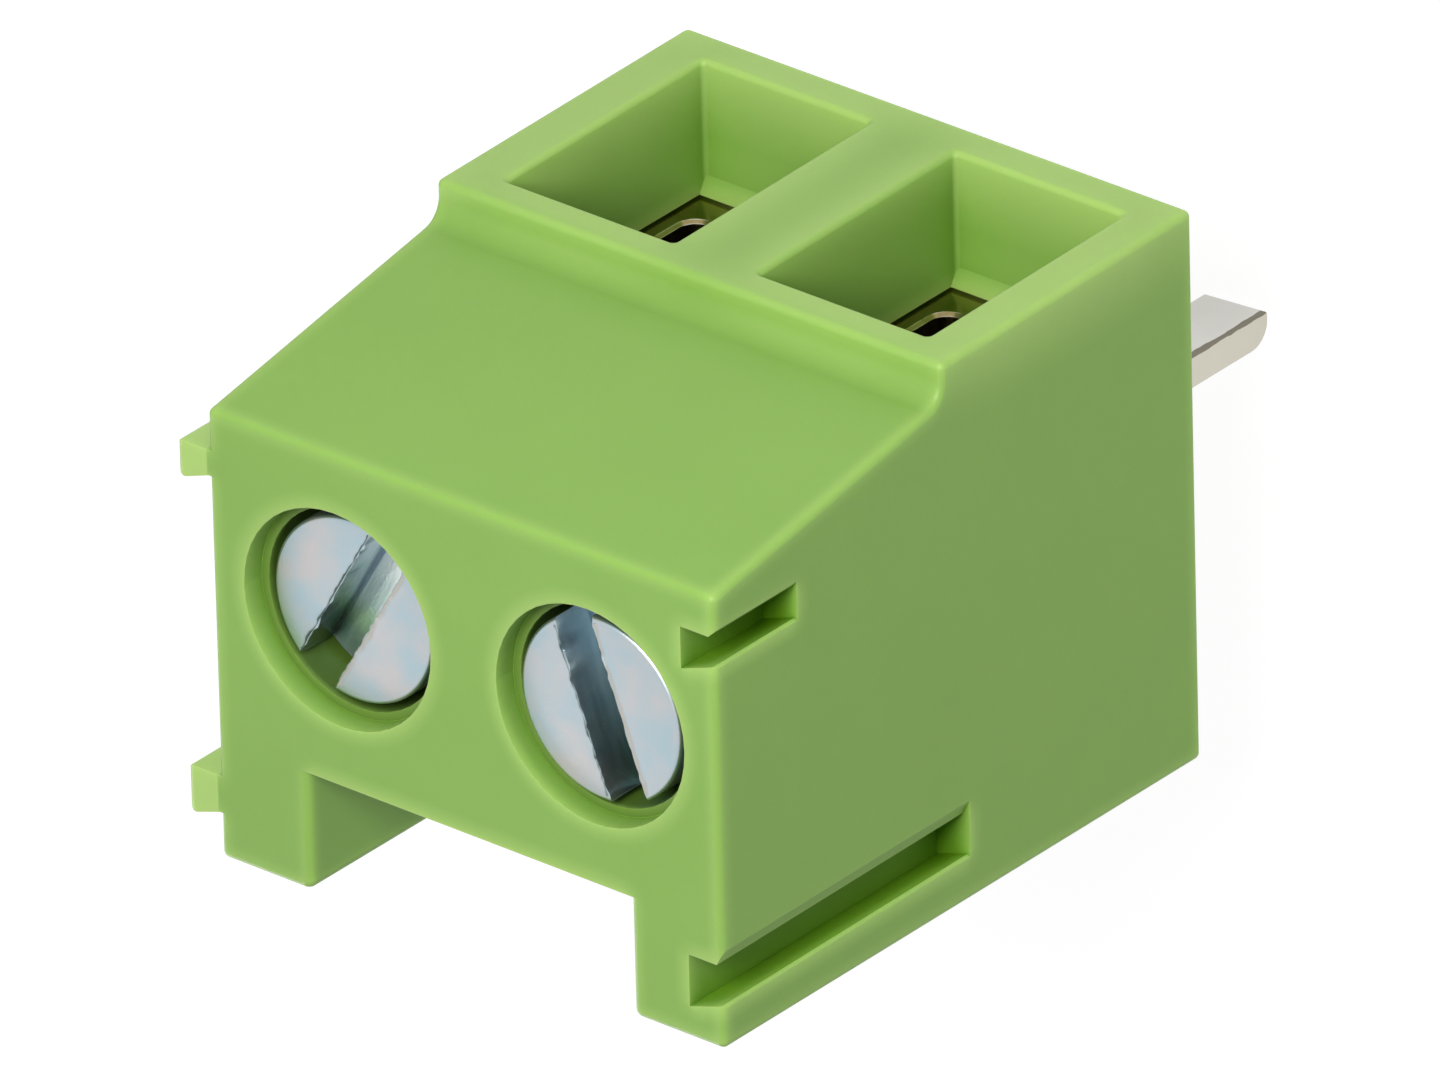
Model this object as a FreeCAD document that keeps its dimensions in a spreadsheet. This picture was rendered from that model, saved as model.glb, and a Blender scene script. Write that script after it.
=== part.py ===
import FreeCAD, Part
import os
import Sketcher
from FreeCAD import Placement, Rotation, Vector

# Screw terminal block for a printed circuit board, two poles, wires from the front, screws from above.
#
# Frame: millimetres. Z = 0 is the board's surface and +Z leaves the board. The poles stand side by side
# along X, each with its screw axis at Y = 0, and the wires enter from the -Y side.

DIMENSIONS = [
    ("pitch", 5.08, "distance between two poles"),
    ("poles", 2, "number of poles"),
    ("front_reach", 4.62, "from the screw axes forward to the wire face, at the board"),
    ("front_lean", 0.085, "how far the wire face leans back between the board and the shelf"),
    ("back_reach", 5.13, "from the screw axes back to the rear face, at the board"),
    ("back_lean", 0.065, "how far the rear face leans forward between the board and the screw face"),
    ("block_height", 11.79, "board to the screw face"),
    ("shelf_height", 6.18, "board to the shelf above the wire entries"),
    ("shelf_depth", 0.63, "depth of the shelf, front to back"),
    ("slope_reach", 2.9, "from the screw axes forward to the upper edge of the slope"),
    ("edge_round", 0.12, "radius on the housing's outer edges"),
    ("foot_round", 0.4, "radius of the hollow where the slope meets the shelf"),
    ("recess_width", 6.48, "clear width between the two rear legs"),
    ("recess_floor", 2.94, "from the screw axes back to the floor of the recess"),
    ("recess_length", 6.1, "length of the recess, down from the screw face"),
    ("recess_round", 0.15, "radius on the recess's edges"),
    ("entry_width", 3.39, "clear width of a wire entry"),
    ("entry_shift", 0.065, "how far a wire entry stands beside its pole, away from the tongues"),
    ("entry_floor", 0.72, "board to the floor of a wire entry"),
    ("entry_roof", 5.545, "board to the roof of a wire entry"),
    ("entry_round", 0.1, "radius on the mouth of a wire entry"),
    ("entry_corner", 0.08, "radius in the corners of a wire entry"),
    ("ramp_rise", 0.16, "how far the entry's floor climbs in front of the cage"),
    ("ramp_run", 0.3, "length of that climb"),
    ("buried", 0.1, "how far a form reaches into the one it is joined to or cut through"),
    ("cage_width", 4.0, "clamp cage, across the wire"),
    ("cage_depth", 4.46, "clamp cage, along the wire"),
    ("cage_height", 5.2, "clamp cage, along the screw"),
    ("cage_rest", 0.7, "board to the underside of the open cage"),
    ("cage_floor", 0.75, "thickness of the cage's floor, which lifts the wire"),
    ("cage_side", 0.68, "thickness of the cage's side walls"),
    ("cage_roof", 0.95, "thickness of the cage's tapped roof"),
    ("cage_outer_round", 0.3, "radius on the cage's outer corners"),
    ("cage_inner_round", 0.32, "radius in the corners of the cage's window"),
    ("cage_bevel", 0.06, "bevel on the rims of the cage's front and back"),
    ("tooth_depth", 0.12, "depth of the gripping grooves across the cage's floor"),
    ("tooth_spacing", 0.9, "distance between the gripping grooves"),
    ("tooth_count", 4, "number of gripping grooves"),
    ("cage_play", 0.05, "gap between the cage and its shaft, on each side"),
    ("shaft_height", 8.85, "board to the roof of the cage's shaft"),
    ("bore_radius", 1.25, "tapped bore of the cage"),
    ("shank_radius", 1.21, "screw's threaded shank, over the crests"),
    ("neck_radius", 1.0, "screw's neck between head and thread"),
    ("neck_length", 0.5, "length of the neck"),
    ("tip_height", 4.95, "board to the screw's tip"),
    ("tip_chamfer", 0.3, "chamfer round the screw's tip"),
    ("head_radius", 1.59, "screw's cheese head"),
    ("head_height", 1.62, "height of the screw's head"),
    ("head_round", 0.07, "radius on the head's upper edge"),
    ("head_sunk", 0.38, "how far a head at the bottom of its play lies below the screw face"),
    ("slot_width", 0.78, "width of the driver slot"),
    ("slot_depth", 0.8, "depth of the driver slot"),
    ("slot_turn_1", 109.9, "turn of the first screw's slot from the X axis, in degrees"),
    ("slot_turn_2", 59.8, "turn of the second screw's slot"),
    ("screw_rise_1", 0.13, "how far the first screw stands up in its play"),
    ("screw_rise_2", 0, "how far the second screw stands up"),
    ("rim_radius", 1.885, "mouth of the screw's well"),
    ("rim_depth", 0.42, "depth of the wider mouth"),
    ("well_radius", 1.73, "screw's well below the mouth"),
    ("shoulder_height", 9.74, "board to the shoulder below the screw's head"),
    ("shank_hole_radius", 1.35, "hole for the screw's shank through the shoulder"),
    ("metal", 0.6, "thickness of the contact strip"),
    ("strip_width", 2.2, "width of the contact strip"),
    ("strip_foot", 0.05, "board to the underside of the strip's lower leg"),
    ("strip_top", 4.9, "board to the strip's upper face, on which the screw's tip presses"),
    ("strip_back", 2.95, "from the screw axis back to the strip's rear face"),
    ("tongue_reach", 1.95, "from the screw axis forward to the end of the strip's upper leg"),
    ("bend_inner", 0.15, "inside radius of the strip's bends"),
    ("bend_outer", 0.55, "outside radius of the strip's bends"),
    ("strip_gap", 0.03, "gap between the strip and its slot, on each side"),
    ("pin_width", 1.1, "width of the solder pin"),
    ("pin_thickness", 0.58, "thickness of the solder pin"),
    ("pin_centre", 0.08, "how far the pin stands in front of the screw axis"),
    ("pin_length", 4.26, "length of the pin below the board's surface"),
    ("pin_slant", 0.12, "how much shorter the sheared end is on the +X side"),
    ("pin_front_round", 0.1, "radius on the front of the pin's end"),
    ("pin_back_round", 0.4, "radius on the back of the pin's end"),
    ("pin_neck", 0.75, "how far back the strip's lower leg is cut down to the pin's width"),
    ("rail_drop", 0.03, "how much shorter a tongue is than the groove it enters"),
    ("tongue_out", 0.66, "how far a tongue stands out of the side"),
    ("groove_in", 0.68, "depth of a groove"),
    ("groove_play", 0.02, "gap between tongue and groove, on each side"),
    ("lip_bevel", 0.12, "depth of the bevel on the groove's forward lip"),
    ("rear_bevel", 0.05, "bevel on the groove's rear lip"),
    ("tongue_round", 0.16, "radius on the tongue's outer edges"),
    ("front_rail_y", -2.18, "forward flank of the front tongue"),
    ("front_lip_rise", 0.12, "width of the bevel on the front groove's forward lip"),
    ("front_rail_root", 0.46, "front tongue's width at the side wall"),
    ("front_rail_crest", 0.7, "front tongue's width at its crest"),
    ("front_rail_length", 2.0, "length of the front groove, down from the screw face"),
    ("back_rail_y", 3.6, "forward flank of the back tongue"),
    ("back_lip_rise", 0.25, "width of the bevel on the back groove's forward lip"),
    ("back_rail_root", 0.66, "back tongue's width at the side wall"),
    ("back_rail_crest", 0.88, "back tongue's width at its crest"),
    ("back_rail_length", 6.05, "length of the back groove, down from the screw face"),
]

doc = FreeCAD.newDocument("terminal_block")

sheet = doc.addObject("Spreadsheet::Sheet", "size")
for row, (alias, number, meaning) in enumerate(DIMENSIONS, start=1):
    sheet.set(f"A{row}", meaning)
    sheet.set(f"B{row}", str(number))
    sheet.setAlias(f"B{row}", alias)
doc.recompute()

HALF_WIDTH = "size.poles * size.pitch / 2"
FIRST_POLE = "-(size.poles - 1) * size.pitch / 2"
CAGE_TOP = "size.cage_rest + size.cage_height"
HEAD_TOP = "size.block_height - size.head_sunk"
SHAFT_HALF_WIDTH = "size.cage_width / 2 + size.cage_play"
SHAFT_HALF_DEPTH = "size.cage_depth / 2 + size.cage_play"

# How closely a place has to agree with a size to be found, and the least volume that counts as a change.
NEAR = 0.01
LEAST_VOLUME = 1e-6


def value(expression):
    """The number that an expression in the sheet's names stands for."""
    return float(doc.size.evalExpression(expression.replace("size.", "")))


def rectangle(low_x, high_x, low_y, high_y):
    """The four corners of an upright rectangle, as pairs of expressions."""
    return [(low_x, low_y), (high_x, low_y), (high_x, high_y), (low_x, high_y)]


def outline(body, name, plane, *loops, shift=("0", "0", "0")):
    """A sketch on one of the body's own planes, holding closed loops of straight edges.

    Each loop is a list of corners, and each corner is a pair of expressions that its two constraints keep.
    """
    sketch = body.newObject("Sketcher::SketchObject", name)
    support = next(part for part in body.Origin.OriginFeatures if part.Role == plane)
    sketch.AttachmentSupport = [(support, "")]
    sketch.MapMode = "FlatFace"
    for axis, distance in zip("xyz", shift):
        sketch.setExpression(f"AttachmentOffset.Base.{axis}", distance)
    for corners in loops:
        first = sketch.GeometryCount
        points = [Vector(value(across), value(up), 0) for across, up in corners]
        for start, end in zip(points, points[1:] + points[:1]):
            sketch.addGeometry(Part.LineSegment(start, end))
        for index, (across, up) in enumerate(corners):
            edge = first + index
            following = first + (index + 1) % len(corners)
            point = points[index]
            sketch.addConstraint(Sketcher.Constraint("Coincident", edge, 2, following, 1))
            place = sketch.addConstraint(Sketcher.Constraint("DistanceX", -1, 1, edge, 1, point.x))
            sketch.setExpression(f"Constraints[{place}]", across)
            place = sketch.addConstraint(Sketcher.Constraint("DistanceY", -1, 1, edge, 1, point.y))
            sketch.setExpression(f"Constraints[{place}]", up)
    return sketch


def circle(body, name, plane, radius, shift=("0", "0", "0")):
    """A sketch on one of the body's own planes, holding one circle about the sketch's origin."""
    sketch = outline(body, name, plane, shift=shift)
    sketch.addGeometry(Part.Circle(Vector(0, 0, 0), Vector(0, 0, 1), value(radius)))
    sketch.addConstraint(Sketcher.Constraint("Coincident", 0, 3, -1, 1))
    size = sketch.addConstraint(Sketcher.Constraint("Radius", 0, value(radius)))
    sketch.setExpression(f"Constraints[{size}]", radius)
    return sketch


def extrude(body, name, kind, sketch, length, midplane=False, reverse=False):
    """A pad or a pocket of the sketch, which has to add or remove material."""
    doc.recompute()
    before = body.Shape.Volume if body.Tip else 0.0
    feature = body.newObject(f"PartDesign::{kind}", name)
    feature.Profile = sketch
    feature.Midplane = midplane
    feature.Reversed = reverse
    feature.setExpression("Length", length)
    doc.recompute()
    grown = body.Shape.Volume - before
    if grown * (1 if kind == "Pad" else -1) < LEAST_VOLUME:
        raise ValueError(f"{name} changed nothing")
    return feature


def turn(body, name, kind, sketch):
    """A full revolution or groove of the sketch about its own upright axis."""
    doc.recompute()
    before = body.Shape.Volume if body.Tip else 0.0
    feature = body.newObject(f"PartDesign::{kind}", name)
    feature.Profile = sketch
    feature.ReferenceAxis = (sketch, ["V_Axis"])
    feature.Angle = 360
    doc.recompute()
    grown = body.Shape.Volume - before
    if grown * (1 if kind == "Revolution" else -1) < LEAST_VOLUME:
        raise ValueError(f"{name} changed nothing")
    return feature


def soften(body, name, radius, wanted, kind="Fillet"):
    """A fillet or a chamfer on the edges of the body's last feature that are wanted."""
    base = body.Tip
    names = []
    for number, edge in enumerate(base.Shape.Edges, start=1):
        middle = edge.valueAt((edge.FirstParameter + edge.LastParameter) / 2)
        if wanted(middle, edge):
            names.append(f"Edge{number}")
    softened = body.newObject(f"PartDesign::{kind}", name)
    softened.Base = (base, names)
    softened.setExpression("Radius" if kind == "Fillet" else "Size", radius)
    doc.recompute()
    return softened


def repeat(body, name, features, axis, spacing, count):
    """A row of features along one of the body's axes, and the body ends in it."""
    pattern = body.newObject("PartDesign::LinearPattern", name)
    pattern.Originals = features
    direction = next(part for part in body.Origin.OriginFeatures if part.Role == axis)
    pattern.Direction = (direction, [""])
    pattern.Mode = "Spacing"
    pattern.setExpression("Offset", spacing)
    pattern.setExpression("Occurrences", count)
    body.Tip = pattern
    doc.recompute()
    return pattern


def runs_along(edge, direction):
    """Whether a straight edge runs along a direction."""
    if edge.Curve.TypeId != "Part::GeomLine":
        return False
    return abs(edge.Curve.Direction.dot(direction)) > 0.999


def close(first, second, reach=NEAR):
    """Whether two lengths agree."""
    return abs(first - second) < reach


def place(body, pole, rise="0", turned="0"):
    """Stands a piece of one pole on that pole's screw axis."""
    body.Placement = Placement(Vector(0, 0, 0), Rotation(Vector(0, 0, 1), 0))
    body.setExpression("Placement.Base.x", f"{FIRST_POLE} + {pole - 1} * size.pitch")
    body.setExpression("Placement.Base.z", rise)
    body.setExpression("Placement.Rotation.Angle", turned)


def wire_face_at(height):
    """Where the leaning wire face stands at a height."""
    return value("size.front_lean / size.shelf_height") * height - value("size.front_reach")


def rear_face_at(height):
    """Where the leaning rear face stands at a height."""
    return value("size.back_reach") - value("size.back_lean / size.block_height") * height


# The housing is one moulding. Its outline from the side has the shelf over the wire entries, the slope
# above it and the square back. The wire face and the back lean a little, so that it leaves its mould.
def make_housing():
    body = doc.addObject("PartDesign::Body", "housing")
    shelf_edge = "size.front_lean - size.front_reach"
    slope_foot = f"{shelf_edge} + size.shelf_depth"
    side = outline(
        body,
        "side_outline",
        "YZ_Plane",
        [
            ("-size.front_reach", "0"),
            ("size.back_reach", "0"),
            ("size.back_reach - size.back_lean", "size.block_height"),
            ("-size.slope_reach", "size.block_height"),
            (slope_foot, "size.shelf_height"),
            (shelf_edge, "size.shelf_height"),
        ],
    )
    extrude(body, "block", "Pad", side, f"2 * ({HALF_WIDTH})", midplane=True)
    foot = value(slope_foot)
    shelf = value("size.shelf_height")
    hollow = value("size.foot_round")
    along_x = Vector(1, 0, 0)

    def is_foot(middle, edge):
        return runs_along(edge, along_x) and close(middle.y, foot) and close(middle.z, shelf)

    soften(body, "foot_of_slope", "size.foot_round", is_foot)

    def is_outer(middle, edge):
        in_hollow = close(middle.y, foot, hollow) and close(middle.z, shelf, hollow)
        return not in_hollow

    soften(body, "outer_edges", "size.edge_round", is_outer)
    make_rear_recess(body)
    make_rails(body)
    make_poles(body)
    return body


# Between the two rear legs the back is stepped in behind the screws.
def make_rear_recess(body):
    half = "size.recess_width / 2"
    area = rectangle(f"-{half}", half, "size.recess_floor", "size.back_reach + size.buried")
    top = ("0", "0", "size.block_height")
    sketch = outline(body, "recess_outline", "XY_Plane", area, shift=top)
    extrude(body, "rear_recess", "Pocket", sketch, "size.recess_length")
    side = value(half)
    end = value("size.block_height - size.recess_length")

    def is_leg_edge(middle, edge):
        upright = close(abs(middle.x), side) and middle.z > end
        level = abs(middle.x) < side and close(middle.z, end)
        return close(middle.y, rear_face_at(middle.z)) and (upright or level)

    soften(body, "recess_edges", "size.recess_round", is_leg_edge)


# Half dovetails let blocks slide together into a longer row: tongues on the +X side, grooves on the -X side.
# The forward flanks are flat and the rear ones inclined. Both start at the screw face.
def make_rails(body):
    top = ("0", "0", "size.block_height")
    for rail in ("front", "back"):
        undercut = f"size.{rail}_rail_crest - size.{rail}_rail_root"
        forward = f"size.{rail}_rail_y - size.groove_play"
        neck_end = f"size.{rail}_rail_y + size.{rail}_rail_root + size.groove_play"
        wall = f"-({HALF_WIDTH})"
        floor = f"{wall} + size.groove_in"
        outside = f"{wall} - size.buried"
        groove = [
            (floor, forward),
            (f"{wall} + size.lip_bevel", forward),
            (wall, f"{forward} - size.{rail}_lip_rise"),
            (outside, f"{forward} - size.{rail}_lip_rise"),
            (outside, f"{neck_end} + size.rear_bevel"),
            (wall, f"{neck_end} + size.rear_bevel"),
            (f"{wall} + size.rear_bevel", f"{neck_end} + ({undercut}) * size.rear_bevel / size.groove_in"),
            (floor, f"{neck_end} + {undercut}"),
        ]
        sketch = outline(body, f"{rail}_groove_outline", "XY_Plane", groove, shift=top)
        extrude(body, f"{rail}_groove", "Pocket", sketch, f"size.{rail}_rail_length")
    for rail in ("front", "back"):
        forward = f"size.{rail}_rail_y"
        root_end = f"{forward} + size.{rail}_rail_root"
        inside = f"{HALF_WIDTH} - size.edge_round - size.buried"
        crest = f"{HALF_WIDTH} + size.tongue_out"
        tongue = [
            (inside, forward),
            (crest, forward),
            (crest, f"{forward} + size.{rail}_rail_crest"),
            (HALF_WIDTH, root_end),
            (inside, root_end),
        ]
        sketch = outline(body, f"{rail}_tongue_outline", "XY_Plane", tongue, shift=top)
        length = f"size.{rail}_rail_length - size.rail_drop"
        extrude(body, f"{rail}_tongue", "Pad", sketch, length, reverse=True)
    crest_x = value(f"{HALF_WIDTH} + size.tongue_out")
    soften(body, "tongue_edges", "size.tongue_round", lambda middle, edge: close(middle.x, crest_x))


# One pole's openings: the wire entry, the shaft in which the cage rises, the slot that holds the contact
# strip and the stepped well of the screw. They are cut once and repeated at the pitch. A small ramp in each
# entry leads the wire up to the cage.
def make_poles(body):
    at_board = (FIRST_POLE, "0", "0")
    half, depth = SHAFT_HALF_WIDTH, SHAFT_HALF_DEPTH
    sketch = outline(
        body, "shaft_outline", "XY_Plane", rectangle(f"-({half})", half, f"-({depth})", depth), shift=at_board
    )
    shaft = extrude(body, "cage_shaft", "Pocket", sketch, "size.shaft_height", reverse=True)

    half = "size.strip_width / 2 + size.strip_gap"
    area = rectangle(f"-({half})", half, "0", "size.strip_back")
    sketch = outline(body, "slot_outline", "XY_Plane", area, shift=at_board)
    slot = extrude(body, "strip_slot", "Pocket", sketch, "size.strip_top + size.strip_gap", reverse=True)

    entry_middle = f"{FIRST_POLE} - size.entry_shift"
    half = "size.entry_width / 2"
    area = rectangle(f"-{half}", half, "size.entry_floor", "size.entry_roof")
    sketch = outline(body, "entry_outline", "XZ_Plane", area, shift=(entry_middle, "0", "size.front_reach"))
    entry = extrude(body, "wire_entry", "Pocket", sketch, f"size.front_reach - ({depth}) + size.buried")

    well = [
        ("0", "size.shaft_height - size.buried"),
        ("size.shank_hole_radius", "size.shaft_height - size.buried"),
        ("size.shank_hole_radius", "size.shoulder_height"),
        ("size.well_radius", "size.shoulder_height"),
        ("size.well_radius", "size.block_height - size.rim_depth"),
        ("size.rim_radius", "size.block_height - size.rim_depth"),
        ("size.rim_radius", "size.block_height + size.buried"),
        ("0", "size.block_height + size.buried"),
    ]
    sketch = outline(body, "well_outline", "XZ_Plane", well, shift=at_board)
    screw_well = turn(body, "screw_well", "Groove", sketch)

    repeat(body, "row_of_poles", [shaft, slot, entry, screw_well], "X_Axis", "size.pitch", "size.poles")
    along_y = Vector(0, 1, 0)
    side = value("size.entry_width / 2")
    low = value("size.entry_floor")
    high = value("size.entry_roof")
    middles = [value(f"{entry_middle} + {pole} * size.pitch") for pole in range(int(value("size.poles")))]

    def is_corner(middle, edge):
        beside = any(close(abs(middle.x - entry_x), side) for entry_x in middles)
        return beside and runs_along(edge, along_y) and (close(middle.z, low) or close(middle.z, high))

    def is_mouth(middle, edge):
        beside = any(close(middle.x, entry_x, side + NEAR) for entry_x in middles)
        level = low - NEAR < middle.z < high + NEAR
        return beside and level and close(middle.y, wire_face_at(middle.z))

    soften(body, "entry_corners", "size.entry_corner", is_corner)
    soften(body, "entry_mouths", "size.entry_round", is_mouth)

    foot = f"-({depth}) - size.ramp_run"
    rise = [
        (foot, "size.entry_floor"),
        (f"-({depth})", "size.entry_floor + size.ramp_rise"),
        (f"-({depth})", "size.entry_floor - size.buried"),
        (foot, "size.entry_floor - size.buried"),
    ]
    sketch = outline(body, "ramp_outline", "YZ_Plane", rise, shift=("0", "0", entry_middle))
    ramp = extrude(body, "wire_ramp", "Pad", sketch, "size.entry_width + size.buried", midplane=True)
    repeat(body, "wire_ramps", [ramp], "X_Axis", "size.pitch", "size.poles")


# The clamp cage is a square ring of plated brass. The screw runs in its thick tapped roof, and its grooved
# floor lifts the wire against the contact strip.
def make_cage(label, pole):
    body = doc.addObject("PartDesign::Body", label)
    half = "size.cage_width / 2"
    window = f"{half} - size.cage_side"
    low = "size.cage_rest"
    ring = rectangle(f"-{half}", half, low, CAGE_TOP)
    hole = rectangle(f"-({window})", window, f"{low} + size.cage_floor", f"{CAGE_TOP} - size.cage_roof")
    sketch = outline(body, "ring_outline", "XZ_Plane", ring, hole)
    extrude(body, "ring", "Pad", sketch, "size.cage_depth", midplane=True)
    along_y = Vector(0, 1, 0)
    outer = value(half)
    inner = value(window)
    face = value("size.cage_depth / 2")

    def is_outer(middle, edge):
        return runs_along(edge, along_y) and close(abs(middle.x), outer)

    def is_inner(middle, edge):
        return runs_along(edge, along_y) and close(abs(middle.x), inner)

    soften(body, "outer_corners", "size.cage_outer_round", is_outer)
    soften(body, "window_corners", "size.cage_inner_round", is_inner)
    soften(body, "rims", "size.cage_bevel", lambda middle, edge: close(abs(middle.y), face), kind="Chamfer")

    bore = circle(body, "bore_outline", "XY_Plane", "size.bore_radius", shift=("0", "0", CAGE_TOP))
    extrude(body, "tapped_bore", "Pocket", bore, "size.cage_roof + size.buried")

    floor = "size.cage_rest + size.cage_floor"
    first = "-(size.tooth_count - 1) * size.tooth_spacing / 2"
    tooth = [
        (f"{first} - size.tooth_depth", floor),
        (first, f"{floor} - size.tooth_depth"),
        (f"{first} + size.tooth_depth", floor),
    ]
    sketch = outline(body, "tooth_outline", "YZ_Plane", tooth)
    across = f"2 * ({window} - size.cage_inner_round)"
    groove = extrude(body, "gripping_groove", "Pocket", sketch, across, midplane=True)
    repeat(body, "gripping_grooves", [groove], "Y_Axis", "size.tooth_spacing", "size.tooth_count")
    place(body, pole)
    return body


# The clamping screw has a slotted cheese head, which has a little play over the shoulder of its well. Its
# tip presses on the contact strip.
def make_screw(label, pole):
    body = doc.addObject("PartDesign::Body", label)
    under_head = f"{HEAD_TOP} - size.head_height"
    thread_end = f"{under_head} - size.neck_length"
    half_section = [
        ("0", "size.tip_height"),
        ("size.shank_radius - size.tip_chamfer", "size.tip_height"),
        ("size.shank_radius", "size.tip_height + size.tip_chamfer"),
        ("size.shank_radius", f"{thread_end} - (size.shank_radius - size.neck_radius)"),
        ("size.neck_radius", thread_end),
        ("size.neck_radius", under_head),
        ("size.head_radius", under_head),
        ("size.head_radius", HEAD_TOP),
        ("0", HEAD_TOP),
    ]
    sketch = outline(body, "half_section", "XZ_Plane", half_section)
    turn(body, "turned_screw", "Revolution", sketch)
    top = value(HEAD_TOP)
    rim = value("size.head_radius")

    def is_rim(middle, edge):
        return close(middle.z, top) and close(middle.Length ** 2 - middle.z ** 2, rim ** 2)

    soften(body, "head_edge", "size.head_round", is_rim)
    half = "size.slot_width / 2"
    reach = "size.head_radius + size.buried"
    area = rectangle(f"-({reach})", reach, f"-{half}", half)
    sketch = outline(body, "slot_outline", "XY_Plane", area, shift=("0", "0", HEAD_TOP))
    extrude(body, "driver_slot", "Pocket", sketch, "size.slot_depth")
    place(body, pole, rise=f"size.screw_rise_{pole}", turned=f"size.slot_turn_{pole}")
    return body


# The contact strip is bent from one tinned strip: an upper leg through the cage's window, a rear leg in the
# housing's slot, a lower leg, and the narrow solder pin turned down through the board.
def make_strip(label, pole):
    body = doc.addObject("PartDesign::Body", label)
    pin_front = "-(size.pin_centre + size.pin_thickness / 2)"
    pin_back = "size.pin_thickness / 2 - size.pin_centre"
    leg_front = "size.strip_back - size.metal"
    leg_top = "size.strip_foot + size.metal"
    upper_under = "size.strip_top - size.metal"
    bent = [
        ("-size.tongue_reach", upper_under),
        (leg_front, upper_under),
        (leg_front, leg_top),
        (pin_front, leg_top),
        (pin_front, "-size.pin_length"),
        (pin_back, "-size.pin_length"),
        (pin_back, "size.strip_foot"),
        ("size.strip_back", "size.strip_foot"),
        ("size.strip_back", "size.strip_top"),
        ("-size.tongue_reach", "size.strip_top"),
    ]
    sketch = outline(body, "bent_outline", "YZ_Plane", bent)
    extrude(body, "bent_strip", "Pad", sketch, "size.strip_width", midplane=True)

    half = "size.pin_width / 2"
    side = "size.strip_width / 2 + size.buried"
    below = "-size.pin_length - size.buried"
    above = f"{leg_top} + size.buried"
    sketch = outline(
        body,
        "blanking_outline",
        "XZ_Plane",
        rectangle(half, side, below, above),
        rectangle(f"-({side})", f"-{half}", below, above),
    )
    extrude(body, "pin_blanking", "Pocket", sketch, "2 * size.pin_neck", midplane=True)

    short_end = "size.pin_slant - size.pin_length"
    sheared = [
        (f"-{half}", "-size.pin_length"),
        (half, short_end),
        (f"{half} + size.buried", short_end),
        (f"{half} + size.buried", below),
        (f"-{half}", below),
    ]
    sketch = outline(body, "shear_outline", "XZ_Plane", sheared)
    extrude(body, "sheared_end", "Pocket", sketch, "2 * size.pin_neck", midplane=True)

    along_x = Vector(1, 0, 0)
    end = value("size.pin_slant / 2 - size.pin_length")

    def bends_at(corners):
        places = [(value(across), value(up)) for across, up in corners]
        return lambda middle, edge: runs_along(edge, along_x) and any(
            close(middle.y, across) and close(middle.z, up) for across, up in places
        )

    def ends_at(side_of_pin):
        return lambda middle, edge: close(middle.y, value(side_of_pin)) and close(middle.z, end)

    outer = [("size.strip_back", "size.strip_top"), ("size.strip_back", "size.strip_foot")]
    outer.append((pin_front, leg_top))
    inner = [(leg_front, upper_under), (leg_front, leg_top), (pin_back, "size.strip_foot")]
    soften(body, "outer_bends", "size.bend_outer", bends_at(outer))
    soften(body, "inner_bends", "size.bend_inner", bends_at(inner))
    soften(body, "pin_front_edge", "size.pin_front_round", ends_at(pin_front))
    soften(body, "pin_back_edge", "size.pin_back_round", ends_at(pin_back))
    place(body, pole)
    return body


pieces = [make_housing()]
for pole in range(1, int(value("size.poles")) + 1):
    pieces.append(make_cage(f"clamp_cage_{pole}", pole))
    pieces.append(make_screw(f"clamping_screw_{pole}", pole))
    pieces.append(make_strip(f"contact_strip_{pole}", pole))
doc.recompute()

failed = [item.Name for item in doc.Objects if {"Invalid", "Error"} & set(item.State)]
if failed:
    raise ValueError(f"these objects failed: {failed}")
for piece in pieces:
    if piece.Shape.isNull() or not piece.Shape.isValid() or len(piece.Shape.Solids) != 1:
        raise ValueError(f"{piece.Label} is not one valid solid")

os.makedirs("parts", exist_ok=True)
for piece in pieces:
    piece.Shape.exportStep(f"parts/{piece.Label}.step")
    box = piece.Shape.BoundBox
    print(f"{piece.Label}: {piece.Shape.Volume:.2f} mm3, height {box.ZMin:.2f} to {box.ZMax:.2f} mm")
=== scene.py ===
import math

import bmesh
import bpy
from mathutils import Matrix, Vector
from mathutils.noise import noise as smooth_noise


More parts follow.
